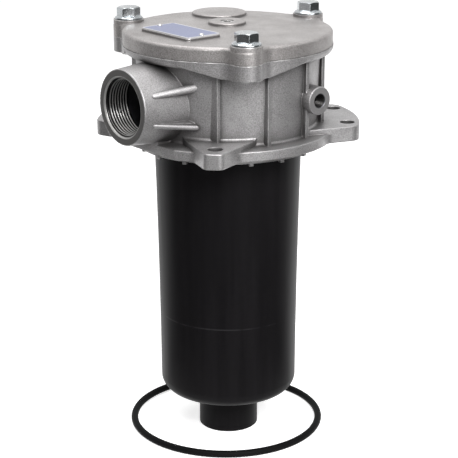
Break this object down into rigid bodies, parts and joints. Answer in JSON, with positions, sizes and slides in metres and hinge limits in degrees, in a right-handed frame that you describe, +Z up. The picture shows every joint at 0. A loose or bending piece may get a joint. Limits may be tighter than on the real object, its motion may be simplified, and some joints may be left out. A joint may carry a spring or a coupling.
{
  "type": "return line filter",
  "caption": "Tank-top return line filter: cast head with a side inlet, lobed bolted cover, black bowl hanging below, loose flange seal round the outlet spigot.",
  "frame": {"origin": "centre of the tank mounting face, on the filter's axis", "axes": "+Z up to the cover, -X out of the inlet port, the bowl hangs along -Z"},
  "size_m": [0.1896, 0.1739, 0.3198],
  "materials": {
    "cast_aluminium": "satin",
    "zinc_plated_steel": "satin",
    "printed_plate": "satin",
    "bright_rivet": "satin",
    "turned_aluminium": "satin",
    "black_nylon": "satin",
    "black_rubber": "matte",
    "filter_paper": "matte",
    "filter_mesh": "matte",
    "spring_steel": "satin"
  },
  "bodies": {
    "housing": {"head_casting": "cast_aluminium", "cover": "cast_aluminium", "cover_o_ring": "black_rubber", "cover_bolts": "zinc_plated_steel", "vent_plug": "zinc_plated_steel", "nameplate": "printed_plate", "nameplate_rivets": "bright_rivet", "bowl": "black_nylon", "bowl_o_ring": "black_rubber", "flange_o_ring": "black_rubber", "element_top_cap": "black_nylon", "element_bottom_cap": "black_nylon", "neck_o_ring": "black_rubber", "pleated_media": "filter_paper", "outer_wrap": "filter_mesh", "core_tube": "zinc_plated_steel", "bypass_seat": "turned_aluminium", "bypass_cage": "black_nylon", "bypass_spring": "spring_steel", "spring_plate": "zinc_plated_steel", "hold_down_spring": "spring_steel"},
    "bypass_valve": {"bypass_poppet": "turned_aluminium", "poppet_seal": "black_rubber", "stem_nut": "zinc_plated_steel"}
  },
  "joints": [
    {"name": "bypass_lift", "type": "slide", "parent": "housing", "child": "bypass_valve", "axis": [0, 0, -1], "range_m": [0, 0.005], "stiffness_N_per_m": 1500, "springref_m": -0.005, "deforming": ["bypass_spring"]}
  ]
}
